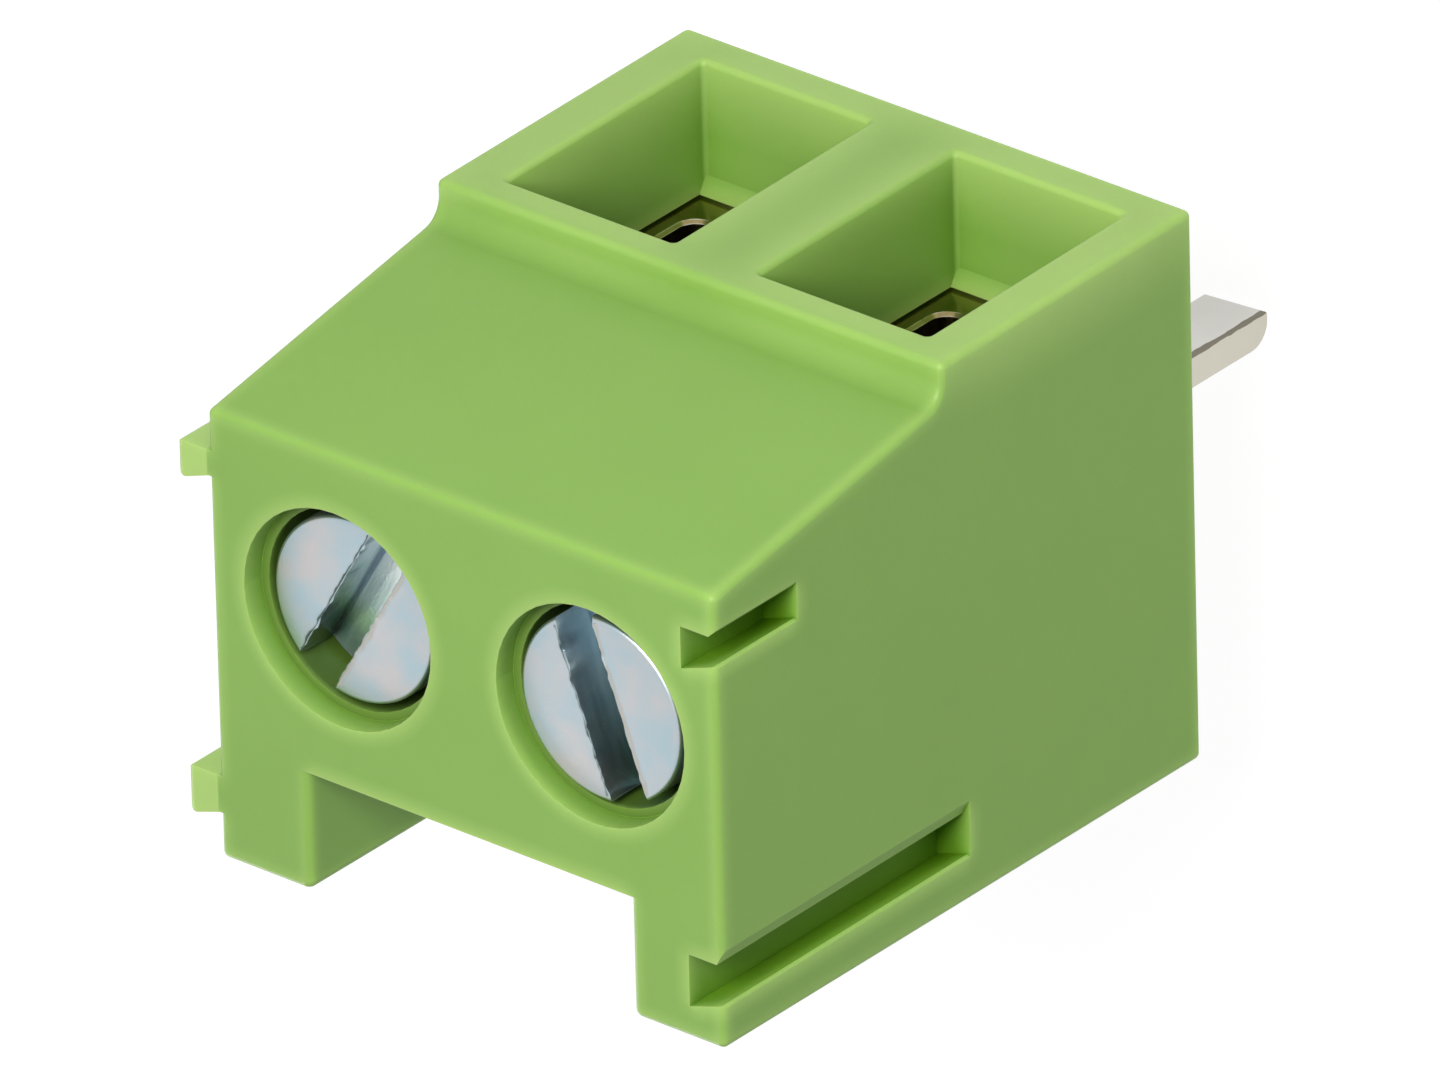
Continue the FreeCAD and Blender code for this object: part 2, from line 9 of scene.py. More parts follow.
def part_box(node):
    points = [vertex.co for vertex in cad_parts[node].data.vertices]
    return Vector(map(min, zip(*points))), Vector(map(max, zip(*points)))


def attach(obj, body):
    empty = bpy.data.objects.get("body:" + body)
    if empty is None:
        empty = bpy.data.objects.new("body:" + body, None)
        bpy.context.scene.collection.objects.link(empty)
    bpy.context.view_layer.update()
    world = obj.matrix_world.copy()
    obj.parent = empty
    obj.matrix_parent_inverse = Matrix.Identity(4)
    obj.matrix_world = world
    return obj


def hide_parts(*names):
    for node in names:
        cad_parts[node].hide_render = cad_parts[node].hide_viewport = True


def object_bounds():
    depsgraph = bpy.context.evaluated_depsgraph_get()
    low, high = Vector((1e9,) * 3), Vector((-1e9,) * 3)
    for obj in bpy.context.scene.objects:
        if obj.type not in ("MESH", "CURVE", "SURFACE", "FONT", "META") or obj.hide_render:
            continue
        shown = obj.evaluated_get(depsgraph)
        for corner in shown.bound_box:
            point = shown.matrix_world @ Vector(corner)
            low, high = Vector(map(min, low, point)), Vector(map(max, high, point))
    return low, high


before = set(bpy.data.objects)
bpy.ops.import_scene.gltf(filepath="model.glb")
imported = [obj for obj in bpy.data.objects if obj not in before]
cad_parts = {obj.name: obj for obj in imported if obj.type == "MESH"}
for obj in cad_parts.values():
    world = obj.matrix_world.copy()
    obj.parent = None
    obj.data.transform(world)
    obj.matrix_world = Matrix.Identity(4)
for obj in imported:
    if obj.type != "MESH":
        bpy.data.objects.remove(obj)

cad_box = [list(corner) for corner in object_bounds()]
scene = bpy.context.scene
MM = 0.001

# The view. The block is seen from above its wire entries and screws, through a long lens, and turned so
# that the screw face looks towards the camera as it does when the block lies on its rear legs.
view_target = Vector((0.0793, 0.5461, 5.4581)) * MM
view_distance = 529.267 * MM
view_azimuth = math.radians(-139.588)
view_elevation = math.radians(42.132)
view_roll = math.radians(121.213)
lens_mm = 849.3
sensor_mm = 36.0

level = math.cos(view_elevation)
towards_camera = Vector(
    (level * math.cos(view_azimuth), level * math.sin(view_azimuth), math.sin(view_elevation))
)
upright = (Vector((0, 0, 1)) - towards_camera * towards_camera.z).normalized()
level_right = upright.cross(towards_camera)
camera_up = upright * math.cos(view_roll) + level_right * math.sin(view_roll)
camera_right = camera_up.cross(towards_camera)
camera_turn = Matrix((camera_right, camera_up, towards_camera)).transposed().to_4x4()

camera_data = bpy.data.cameras.new("camera")
camera_data.lens = lens_mm
camera_data.sensor_width = sensor_mm
camera_data.clip_start = 0.01
camera_data.clip_end = 10.0
camera = bpy.data.objects.new("camera", camera_data)
camera.matrix_world = Matrix.Translation(view_target + towards_camera * view_distance) @ camera_turn
scene.collection.objects.link(camera)
scene.camera = camera
scene.view_settings.view_transform = "Standard"


# The light. A plain bright room, with one soft lamp that shines down into the wire entries and on the screw
# face, and a weaker one behind. The room and the floor are white to the camera.
def add_lamp(name, place_mm, size_mm, power):
    """A round lamp that shines on the block."""
    data = bpy.data.lights.new(name, "AREA")
    data.shape = "DISK"
    data.size = size_mm * MM
    data.energy = power
    lamp = bpy.data.objects.new(name, data)
    scene.collection.objects.link(lamp)
    place = Vector(place_mm) * MM
    back = (place - view_target).normalized()
    lamp.matrix_world = Matrix.Translation(place) @ back.to_track_quat("Z", "Y").to_matrix().to_4x4()


def math_node(tree, operation, *values):
    """A math node whose inputs are numbers or other nodes' outputs, given back as its output."""
    node = tree.nodes.new("ShaderNodeMath")
    node.operation = operation
    for slot_number, item in enumerate(values):
        if isinstance(item, (int, float)):
            node.inputs[slot_number].default_value = item
        else:
            tree.links.new(item, node.inputs[slot_number])
    return node.outputs[0]


def seen_directly(tree):
    """A mask that is 1 for what the camera sees, also in the metal, and 0 for light that lands on a piece."""
    ray = tree.nodes.new("ShaderNodeLightPath")
    seen = math_node(tree, "MAXIMUM", ray.outputs["Is Camera Ray"], ray.outputs["Is Glossy Ray"])
    return math_node(tree, "MAXIMUM", seen, ray.outputs["Is Transmission Ray"])


add_lamp("lamp_over_entries", place_mm=(-33, -57, 87), size_mm=50, power=0.124)
add_lamp("lamp_behind", place_mm=(75, 80, 20), size_mm=80, power=0.055)

world = bpy.data.worlds.new("room")
scene.world = world
world.use_nodes = True
room = world.node_tree
room.nodes.clear()
room_mix = room.nodes.new("ShaderNodeMixShader")
room.links.new(seen_directly(room), room_mix.inputs["Fac"])
room_light = ((0.93, 0.96, 1.0), 0.21)
room_as_seen = ((1, 1, 1), 1.0)
for slot_number, (colour, strength) in enumerate((room_light, room_as_seen), start=1):
    background = room.nodes.new("ShaderNodeBackground")
    background.inputs["Color"].default_value = (*colour, 1)
    background.inputs["Strength"].default_value = strength
    room.links.new(background.outputs[0], room_mix.inputs[slot_number])
room_out = room.nodes.new("ShaderNodeOutputWorld")
room.links.new(room_mix.outputs[0], room_out.inputs["Surface"])

# The housing is one injection moulding of green polyamide, two pitches wide. It is satin, slightly
# see-through at its edges, and its skin has the faint unevenness of the mould.
PITCH = 5.08
POLE_OFFSET = 2.54


def group_with(name, inputs, outputs):
    """A shader group with float inputs {name: value} and float outputs, and its two end nodes."""
    group = bpy.data.node_groups.new(name, "ShaderNodeTree")
    for label, number in inputs.items():
        socket = group.interface.new_socket(label, in_out="INPUT", socket_type="NodeSocketFloat")
        socket.default_value = number
    for label in outputs:
        group.interface.new_socket(label, in_out="OUTPUT", socket_type="NodeSocketFloat")
    return group, group.nodes.new("NodeGroupInput"), group.nodes.new("NodeGroupOutput")


def clip(tree, value, least=0.0):
    """A value kept between a least one and 1."""
    return math_node(tree, "MAXIMUM", math_node(tree, "MINIMUM", value, 1.0), least)


def ramp(tree, value, start, end):
    """A mask that rises from 0 at one number to 1 at another."""
    return clip(tree, math_node(tree, "MULTIPLY_ADD", value, 1 / (end - start), -start / (end - start)))


def spread(tree, value, low, high):
    """A 0 to 1 value spread between two numbers."""
    return math_node(tree, "MULTIPLY_ADD", value, high - low, low)


def new_material(name):
    """A material with only a Principled BSDF and its output."""
    material = bpy.data.materials.new(name)
    material.use_nodes = True
    tree = material.node_tree
    tree.nodes.clear()
    shader = tree.nodes.new("ShaderNodeBsdfPrincipled")
    output = tree.nodes.new("ShaderNodeOutputMaterial")
    tree.links.new(shader.outputs["BSDF"], output.inputs["Surface"])
    return material, tree, shader


def place_group(tree, group, **values):
    """The outputs of a group placed in a material with its own values."""
    node = tree.nodes.new("ShaderNodeGroup")
    node.node_tree = group
    for label, number in values.items():
        node.inputs[label.replace("_", " ")].default_value = number
    return node.outputs


def blend_colours(tree, factor, low, high):
    """A colour between two colours, each a tuple or another node's output."""
    mix = tree.nodes.new("ShaderNodeMix")
    mix.data_type = "RGBA"
    tree.links.new(factor, mix.inputs["Factor"])
    for socket, colour in (("A", low), ("B", high)):
        target = next(item for item in mix.inputs if item.name == socket and item.type == "RGBA")
        if isinstance(colour, tuple):
            target.default_value = (*colour, 1)
        else:
            tree.links.new(colour, target)
    return next(item for item in mix.outputs if item.type == "RGBA")


def place_in_mm(tree):
    """A piece's own coordinates in millimetres: the vector, and its X, Y and Z apart."""
    coordinates = tree.nodes.new("ShaderNodeTexCoord")
    in_mm = tree.nodes.new("ShaderNodeVectorMath")
    in_mm.operation = "SCALE"
    in_mm.inputs["Scale"].default_value = 1 / MM
    tree.links.new(coordinates.outputs["Object"], in_mm.inputs[0])
    apart = tree.nodes.new("ShaderNodeSeparateXYZ")
    tree.links.new(in_mm.outputs["Vector"], apart.inputs[0])
    return in_mm.outputs["Vector"], apart.outputs


def add_bump(tree, shader, height, strength, distance_mm):
    """Feeds a height to the shader's normal."""
    bump = tree.nodes.new("ShaderNodeBump")
    bump.inputs["Strength"].default_value = strength
    bump.inputs["Distance"].default_value = distance_mm * MM
    tree.links.new(height, bump.inputs["Height"])
    tree.links.new(bump.outputs["Normal"], shader.inputs["Normal"])


def repaint(node_name, material):
    """Gives a carried-over piece its material."""
    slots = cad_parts[node_name].data.materials
    slots.clear()
    slots.append(material)


# How deep inside an opening of the piece a place lies, and how thin the piece is there. Both masks run
# from 0 in the open, or on a thick wall, to 1.
depth_masks = {}
for label, inside in (("recess", False), ("thin", True)):
    sizes = {"Reach": 2.0 * MM, "Start": 0.8, "Gain": 2.0}
    depth_group, given, result = group_with(f"{label}_mask", sizes, ["Mask"])
    free_path = depth_group.nodes.new("ShaderNodeAmbientOcclusion")
    free_path.samples = 3
    free_path.only_local = True
    free_path.inside = inside
    depth_group.links.new(given.outputs["Reach"], free_path.inputs["Distance"])
    blocked = math_node(depth_group, "SUBTRACT", given.outputs["Start"], free_path.outputs["AO"])
    blocked = math_node(depth_group, "MULTIPLY", blocked, given.outputs["Gain"])
    depth_group.links.new(clip(depth_group, blocked), result.inputs["Mask"])
    depth_masks[label] = depth_group

# Fine unevenness of a moulded or plated skin: a height for the bump, and a slow cloud for colour and gloss.
sizes = {"Grain Size": 0.08, "Cloud Size": 1.5}
grain_group, given, result = group_with("fine_grain", sizes, ["Height", "Cloud"])
skin_place = grain_group.nodes.new("ShaderNodeTexCoord")
for size_socket, out_socket, detail in (("Grain Size", "Height", 3.0), ("Cloud Size", "Cloud", 2.0)):
    noise = grain_group.nodes.new("ShaderNodeTexNoise")
    noise.inputs["Detail"].default_value = detail
    per_metre = math_node(grain_group, "DIVIDE", 1.0 / MM, given.outputs[size_socket])
    grain_group.links.new(skin_place.outputs["Object"], noise.inputs["Vector"])
    grain_group.links.new(per_metre, noise.inputs["Scale"])
    grain_group.links.new(noise.outputs["Fac"], result.inputs[out_socket])

housing_material, tree, shader = new_material("green_polyamide")
body_green = (0.225, 0.400, 0.080)
deep_green = (0.200, 0.368, 0.064)
painted_glow_green = (0.420, 0.600, 0.170)
recess_shade_green = (0.150, 0.335, 0.000)
narrow_shade_green = (0.080, 0.215, 0.000)
well_shade_green = (0.050, 0.095, 0.010)
grain = place_group(tree, grain_group, Grain_Size=0.12, Cloud_Size=2.2)
recess = place_group(tree, depth_masks["recess"], Reach=2.4 * MM, Start=0.66, Gain=2.0)["Mask"]
narrow = place_group(tree, depth_masks["recess"], Reach=0.9 * MM, Start=0.62, Gain=2.2)["Mask"]
edges = place_group(tree, depth_masks["thin"], Reach=0.32 * MM, Start=0.9, Gain=2.4)["Mask"]
walls = place_group(tree, depth_masks["thin"], Reach=1.1 * MM, Start=0.95, Gain=1.7)["Mask"]
axes = place_in_mm(tree)[1]
in_the_open = math_node(tree, "SUBTRACT", 1.0, recess)
green = blend_colours(tree, grain["Cloud"], deep_green, body_green)
# Painted shade: the green is painted darker deep in the openings, and darker still in narrow gaps.
green = blend_colours(tree, recess, green, recess_shade_green)
green = blend_colours(tree, narrow, green, narrow_shade_green)

# Painted light: every edge, the thin walls round the mouths of the wire entries, which end at the shelf above
# them, and the tongues, which stand out from the side, are painted a paler green, as if light shone through
# them.
entry_inside, entry_mouth = -3.3, -4.6
above_shelf, below_shelf = 6.5, 5.9
edge_share, wall_share, tongue_share = 0.6, 0.75, 0.75
edge_painted_glow = math_node(tree, "MULTIPLY", math_node(tree, "MULTIPLY", edges, in_the_open), edge_share)
mouth_painted_glow = math_node(tree, "MULTIPLY", walls, ramp(tree, axes["Y"], entry_inside, entry_mouth))
mouth_painted_glow = math_node(tree, "MULTIPLY", mouth_painted_glow, ramp(tree, axes["Z"], above_shelf, below_shelf))
mouth_painted_glow = math_node(tree, "MULTIPLY", mouth_painted_glow, wall_share)
tongue_painted_glow = math_node(tree, "MULTIPLY", ramp(tree, axes["X"], PITCH, PITCH + 0.04), tongue_share)
painted_glow = math_node(tree, "MAXIMUM", math_node(tree, "MAXIMUM", edge_painted_glow, mouth_painted_glow), tongue_painted_glow)
green = blend_colours(tree, painted_glow, green, painted_glow_green)

# Painted shade: round the screws, the wells are painted darker below their wider mouths, down to the floor
# that the heads stand on.
well_radius, well_floor, well_shade_share = 1.87, 9.0, 0.9
mouth_floor, unlit_wall = 11.55, 11.25
across = math_node(tree, "SUBTRACT", math_node(tree, "ABSOLUTE", axes["X"]), POLE_OFFSET)
across_squared = math_node(tree, "MULTIPLY", across, across)
along_squared = math_node(tree, "MULTIPLY", axes["Y"], axes["Y"])
from_pole = math_node(tree, "SQRT", math_node(tree, "ADD", across_squared, along_squared))
in_well = math_node(tree, "LESS_THAN", from_pole, well_radius)
well_shade = math_node(tree, "MULTIPLY", ramp(tree, axes["Z"], mouth_floor, unlit_wall), in_well)
well_shade = math_node(tree, "MULTIPLY", well_shade, ramp(tree, axes["Z"], well_floor, well_floor + 0.1))
well_shade = math_node(tree, "MULTIPLY", well_shade, well_shade_share)
green = blend_colours(tree, well_shade, green, well_shade_green)

tree.links.new(green, shader.inputs["Base Color"])
shader.inputs["Specular IOR Level"].default_value = 0.3
tree.links.new(spread(tree, grain["Cloud"], 0.36, 0.50), shader.inputs["Roughness"])
shader.inputs["Subsurface Weight"].default_value = 0.35
shader.inputs["Subsurface Radius"].default_value = (0.6, 1.0, 0.25)
shader.inputs["Subsurface Scale"].default_value = 0.7 * MM
add_bump(tree, shader, grain["Height"], strength=0.25, distance_mm=0.01)
repaint("housing", housing_material)

# The contact strips are bent from tinned metal. The tin is pale and soft, with a warm tone on the sheared
# edges of the pins.
strip_material, tree, shader = new_material("tinned_strip")
dull_tin, bright_tin = (0.62, 0.60, 0.56), (0.78, 0.77, 0.74)
sheared_tin, dark_edge_line = (0.66, 0.63, 0.54), (0.22, 0.20, 0.15)
faces_sideways = 0.7
grain = place_group(tree, grain_group, Grain_Size=0.05, Cloud_Size=0.9)
tin = blend_colours(tree, grain["Cloud"], dull_tin, bright_tin)
surface = tree.nodes.new("ShaderNodeNewGeometry")
facing = tree.nodes.new("ShaderNodeSeparateXYZ")
tree.links.new(surface.outputs["Normal"], facing.inputs[0])
sideways = math_node(tree, "ABSOLUTE", facing.outputs["X"])
sheared = math_node(tree, "GREATER_THAN", sideways, faces_sideways)
tin = blend_colours(tree, sheared, tin, sheared_tin)

# A dark wavering line runs along one edge of each pin, beside its pole and in front of it.
line_beside, line_in_front = 0.55, 0.37
strip_place, axes = place_in_mm(tree)
beside = math_node(tree, "WRAP", axes["X"], 0.0, -PITCH)
beside = math_node(tree, "ADD", beside, POLE_OFFSET + line_beside)
in_front = math_node(tree, "ADD", axes["Y"], line_in_front)
off_edge = math_node(tree, "ADD", math_node(tree, "ABSOLUTE", beside), math_node(tree, "ABSOLUTE", in_front))
waver = tree.nodes.new("ShaderNodeTexNoise")
waver.inputs["Scale"].default_value = 1.6
waver.inputs["Detail"].default_value = 3.0
tree.links.new(strip_place, waver.inputs["Vector"])
line_width = spread(tree, waver.outputs["Fac"], -0.02, 0.14)
on_line = math_node(tree, "LESS_THAN", off_edge, line_width)
on_line = math_node(tree, "MULTIPLY", on_line, math_node(tree, "LESS_THAN", axes["Z"], 0.0))
tin = blend_colours(tree, on_line, tin, dark_edge_line)
tree.links.new(tin, shader.inputs["Base Color"])
shader.inputs["Metallic"].default_value = 0.85
tree.links.new(spread(tree, grain["Cloud"], 0.32, 0.48), shader.inputs["Roughness"])
add_bump(tree, shader, grain["Height"], strength=0.3, distance_mm=0.006)
for pole in (1, 2):
    repaint(f"contact_strip_{pole}", strip_material)

# The clamp cages are square rings, nickel plated. Painted reflection: the nickel is painted dark olive for
# the shaded green entry walls that it mirrors, and its rims round the window get painted white glints here
# and there. The edge mask is 1 on an edge and 0 on a flat face.
edge_group, given, result = group_with("edge_mask", {"Reach": 0.15 * MM, "Gain": 8.0}, ["Edge"])
rounded = edge_group.nodes.new("ShaderNodeBevel")
rounded.samples = 4
edge_group.links.new(given.outputs["Reach"], rounded.inputs["Radius"])
surface = edge_group.nodes.new("ShaderNodeNewGeometry")
agreement = edge_group.nodes.new("ShaderNodeVectorMath")
agreement.operation = "DOT_PRODUCT"
edge_group.links.new(rounded.outputs["Normal"], agreement.inputs[0])
edge_group.links.new(surface.outputs["Normal"], agreement.inputs[1])
departure = math_node(edge_group, "SUBTRACT", 1.0, agreement.outputs["Value"])
departure = math_node(edge_group, "MULTIPLY", departure, given.outputs["Gain"])
edge_group.links.new(math_node(edge_group, "MINIMUM", departure, 1.0), result.inputs["Edge"])

cage_material, tree, shader = new_material("nickel_cage")
nickel_dark_reflection, nickel_olive_reflection, painted_glint_white = (0.24, 0.19, 0.07), (0.33, 0.27, 0.13), (0.98, 0.98, 0.94)
grain = place_group(tree, grain_group, Grain_Size=0.06, Cloud_Size=0.3)
edge = place_group(tree, edge_group, Reach=0.04 * MM, Gain=4.0)["Edge"]
nickel = blend_colours(tree, grain["Cloud"], nickel_dark_reflection, nickel_olive_reflection)
painted_glint = clip(tree, spread(tree, grain["Cloud"], -3.9, 5.1), least=0.06)
nickel = blend_colours(tree, math_node(tree, "MULTIPLY", edge, painted_glint), nickel, painted_glint_white)
tree.links.new(nickel, shader.inputs["Base Color"])
shader.inputs["Metallic"].default_value = 1.0
tree.links.new(spread(tree, grain["Cloud"], 0.14, 0.26), shader.inputs["Roughness"])
add_bump(tree, shader, grain["Height"], strength=0.3, distance_mm=0.006)
for pole in (1, 2):
    repaint(f"clamp_cage_{pole}", cage_material)

# The clamping screws are M2.5, cold headed and thread rolled from steel, with blue zinc plating. The slot is
# sawn across the cheese head, and has a ragged burr along its upper edges. Sizes are in millimetres.
HEAD_RADIUS, HEAD_HEIGHT, HEAD_ROUND, HEAD_UNDERCUT = 1.59, 1.62, 0.07, 0.05
NECK_RADIUS, NECK_LENGTH, NECK_OVERLAP = 1.0, 0.5, 0.04
SLOT_WIDTH, SLOT_DEPTH = 0.78, 0.8
THREAD_PITCH, THREAD_CREST, THREAD_CORE, TIP_BEVEL = 0.45, 1.21, 0.94, 0.3
ROOT_SHARE, FLANK_SHARE = 0.25, 0.6
SLOT_TURNS = {1: 109.9, 2: 59.8}


def make_thread_tree():
    """A node tree that rolls a right-hand thread round an upright shank standing on z = 0."""
    tree = bpy.data.node_groups.new("rolled_thread", "GeometryNodeTree")
    tree.interface.new_socket("Geometry", in_out="OUTPUT", socket_type="NodeSocketGeometry")
    sizes = {"Crest Radius": THREAD_CREST, "Core Radius": THREAD_CORE, "Pitch": THREAD_PITCH}
    sizes.update({"Length": 4.0, "Neck Radius": NECK_RADIUS, "Tip Radius": 0.9})
    for label, number in sizes.items():
        socket = tree.interface.new_socket(label, in_out="INPUT", socket_type="NodeSocketFloat")
        socket.default_value = number * MM
    for label, number in {"Around": 64, "Rows": 150}.items():
        socket = tree.interface.new_socket(label, in_out="INPUT", socket_type="NodeSocketInt")
        socket.default_value = number
    tree.interface.new_socket("Finish", in_out="INPUT", socket_type="NodeSocketMaterial")
    given = tree.nodes.new("NodeGroupInput").outputs
    result = tree.nodes.new("NodeGroupOutput")

    def calc(operation, *values):
        return math_node(tree, operation, *values)

    grid = tree.nodes.new("GeometryNodeMeshGrid")
    grid.inputs["Size X"].default_value = 1.0
    grid.inputs["Size Y"].default_value = 1.0
    tree.links.new(calc("ADD", given["Around"], 1.0), grid.inputs["Vertices X"])
    tree.links.new(given["Rows"], grid.inputs["Vertices Y"])
    here = tree.nodes.new("ShaderNodeSeparateXYZ")
    tree.links.new(tree.nodes.new("GeometryNodeInputPosition").outputs[0], here.inputs[0])
    part_turn = calc("ADD", here.outputs["X"], 0.5)
    part_up = calc("ADD", here.outputs["Y"], 0.5)

    # The first and the last row of the grid close the two ends of the shank.
    step = calc("DIVIDE", 1.0, calc("SUBTRACT", given["Rows"], 1.0))
    inner_rows = calc("SUBTRACT", 1.0, calc("MULTIPLY", step, 2.0))
    above_first = calc("DIVIDE", calc("SUBTRACT", part_up, step), inner_rows)
    height = calc("MULTIPLY", calc("MINIMUM", calc("MAXIMUM", above_first, 0.0), 1.0), given["Length"])
    off_end = calc("SUBTRACT", 0.5, calc("ABSOLUTE", calc("SUBTRACT", part_up, 0.5)))
    on_surface = calc("GREATER_THAN", off_end, calc("MULTIPLY", step, 0.5))

    # The thread's depth follows how far a point is through its turn, and fades at the tip and the neck.
    phase = calc("FRACT", calc("SUBTRACT", calc("DIVIDE", height, given["Pitch"]), part_turn))
    ridge = calc("SUBTRACT", 1.0, calc("ABSOLUTE", calc("SUBTRACT", calc("MULTIPLY", phase, 2.0), 1.0)))
    flank = calc("DIVIDE", calc("SUBTRACT", ridge, ROOT_SHARE), FLANK_SHARE)
    flank = calc("MINIMUM", calc("MAXIMUM", flank, 0.0), 1.0)
    rise = calc("SUBTRACT", given["Crest Radius"], given["Core Radius"])
    radius = calc("MULTIPLY_ADD", flank, rise, given["Core Radius"])
    radius = calc("MINIMUM", radius, calc("ADD", given["Tip Radius"], height))
    below_neck = calc("SUBTRACT", given["Length"], height)
    radius = calc("MINIMUM", radius, calc("ADD", given["Neck Radius"], below_neck))
    radius = calc("MULTIPLY", radius, on_surface)
    angle = calc("MULTIPLY", part_turn, math.tau)
    rolled = tree.nodes.new("ShaderNodeCombineXYZ")
    tree.links.new(calc("MULTIPLY", radius, calc("COSINE", angle)), rolled.inputs["X"])
    tree.links.new(calc("MULTIPLY", radius, calc("SINE", angle)), rolled.inputs["Y"])
    tree.links.new(height, rolled.inputs["Z"])

    placed = tree.nodes.new("GeometryNodeSetPosition")
    merged = tree.nodes.new("GeometryNodeMergeByDistance")
    realized = tree.nodes.new("GeometryNodeRealizeInstances")
    finished = tree.nodes.new("GeometryNodeSetMaterial")
    tree.links.new(rolled.outputs[0], placed.inputs["Position"])
    merged.inputs["Distance"].default_value = 0.001 * MM
    tree.links.new(given["Finish"], finished.inputs["Material"])
    flow = grid.outputs["Mesh"]
    for node in (placed, merged, realized, finished):
        tree.links.new(flow, node.inputs[0])
        flow = node.outputs[0]
    tree.links.new(flow, result.inputs["Geometry"])
    return tree


def settled_mesh(item):
    """The mesh that an object's modifiers give."""
    scene.collection.objects.link(item)
    bpy.context.view_layer.update()
    mesh = bpy.data.meshes.new_from_object(item.evaluated_get(bpy.context.evaluated_depsgraph_get()))
    bpy.data.objects.remove(item)
    return mesh


def mesh_of(name, points, faces):
    """A mesh whose faces are turned outwards."""
    mesh = bpy.data.meshes.new(name)
    mesh.from_pydata(points, [], faces)
    shape = bmesh.new()
    shape.from_mesh(mesh)
    bmesh.ops.recalc_face_normals(shape, faces=shape.faces)
    shape.to_mesh(mesh)
    shape.free()
    return mesh


def turned_mesh(name, profile, steps):
    """A closed profile of (radius, height) pairs, from axis to axis, turned about the z axis."""
    points, rings, faces = [], [], []
    for radius, height in profile:
        count = steps if radius > 0 else 1
        rings.append(range(len(points), len(points) + count))
        for index in range(count):
            angle = math.tau * index / steps
            points.append((radius * math.cos(angle), radius * math.sin(angle), height))
    for low, high in zip(rings, rings[1:]):
        for index in range(steps):
            after = (index + 1) % steps
            face = [low[index % len(low)], low[after % len(low)]]
            face += [high[after % len(high)], high[index % len(high)]]
            faces.append(list(dict.fromkeys(face)))
    return mesh_of(name, points, faces)


def barred_mesh(name, sections):
    """A closed bar through a row of sections, each a loop of as many points."""
    count = len(sections[0])
    points = [point for section in sections for point in section]
    faces = [list(range(count)), list(range(len(points) - count, len(points)))]
    for start in range(0, len(points) - count, count):
        for index in range(count):
            after = (index + 1) % count
            faces.append([start + index, start + after, start + count + after, start + count + index])
    return mesh_of(name, points, faces)


def slot_cutter(pole):
    """The sawn slot, with a wall that frays towards its upper edge."""
    reach, step = 1.92, 0.04
    fraying = ((-SLOT_DEPTH, 0.004), (-0.5, 0.010), (-0.2, 0.020), (-0.06, 0.042), (0.0, 0.055), (0.4, 0.055))
    sections = []
    for index in range(97):
        along = -reach + step * index
        walls = []
        for side in (-1, 1):
            wall = []
            for height, fray in fraying:
                slow = smooth_noise(Vector((along * 3.1, side * 5.0 + pole * 11.0, height * 2.0)))
                fine = smooth_noise(Vector((along * 9.0, side * 7.0 + pole * 3.0, height * 5.0)))
                offset = SLOT_WIDTH / 2 + fray * (slow + 0.5 * fine)
                wall.append((along, side * offset, height))
            walls.append(wall)
        sections.append(walls[0] + walls[1][::-1])
    return barred_mesh("slot_cutter", sections)


def burr_mesh(pole, side):
    """A thin ragged lip of metal that the saw left along one edge of the slot, wider on one side."""
    reach = math.sqrt((HEAD_RADIUS - HEAD_ROUND) ** 2 - (SLOT_WIDTH / 2) ** 2) - 0.04
    lip_width = 0.07 if side > 0 else 0.03
    steps = 120
    sections = []
    for index in range(steps + 1):
        along = -reach + 2 * reach * index / steps
        ragged = smooth_noise(Vector((along * 4.3, side * 2.0 + pole * 6.0, 0.7)))
        torn = smooth_noise(Vector((along * 11.0, side * 4.0 + pole * 9.0, 2.1)))
        height = max(0.002, 0.013 + 0.016 * ragged + 0.009 * torn)
        edge = SLOT_WIDTH / 2 + 0.012 + 0.02 * ragged + 0.012 * torn
        outer = edge + max(0.02, lip_width + 0.03 * ragged)
        lip = ((edge, -0.03), (outer, -0.03), (outer, -0.001), (edge + 0.012, height), (edge, 0.0))
        sections.append([(along, side * across, up) for across, up in lip])
    return barred_mesh("slot_burr", sections)


# Outside the slot the zinc is mottled, grey blue and faintly rosy. Painted reflection and shade: the slot is
# painted pale at its high end and dark green at its low end, in streaks along the lines that the saw left,
# its walls are painted darker than its floor, and the burrs are dark on the narrow side of the slot and pale
# on the wide side.
screw_material, tree, shader = new_material("blue_zinc")
blue_zinc, rosy_zinc, rim_shade_zinc = (0.385, 0.51, 0.565), (0.52, 0.505, 0.51), (0.34, 0.40, 0.43)
painted_sheen_floor, painted_shade_high_wall = (0.86, 0.97, 0.93), (0.27, 0.40, 0.48)
painted_shade_low_floor, painted_shade_low_wall = (0.06, 0.20, 0.13), (0.012, 0.040, 0.016)
dark_burr, pale_burr = (0.17, 0.21, 0.22), (0.46, 0.45, 0.41)
fade_per_mm, fade_at_middle = 0.45, -0.1
wall_band, burr_foot = 0.06, 0.0015
grain = place_group(tree, grain_group, Grain_Size=0.05, Cloud_Size=0.75)
edge = place_group(tree, edge_group, Reach=0.05 * MM, Gain=3.0)["Edge"]
in_slot = place_group(tree, depth_masks["recess"], Reach=0.9 * MM, Start=0.86, Gain=3.2)["Mask"]
outside_slot = math_node(tree, "SUBTRACT", 1.0, in_slot)
mottle = clip(tree, spread(tree, grain["Cloud"], -0.7, 1.7))
zinc = blend_colours(tree, mottle, blue_zinc, rosy_zinc)

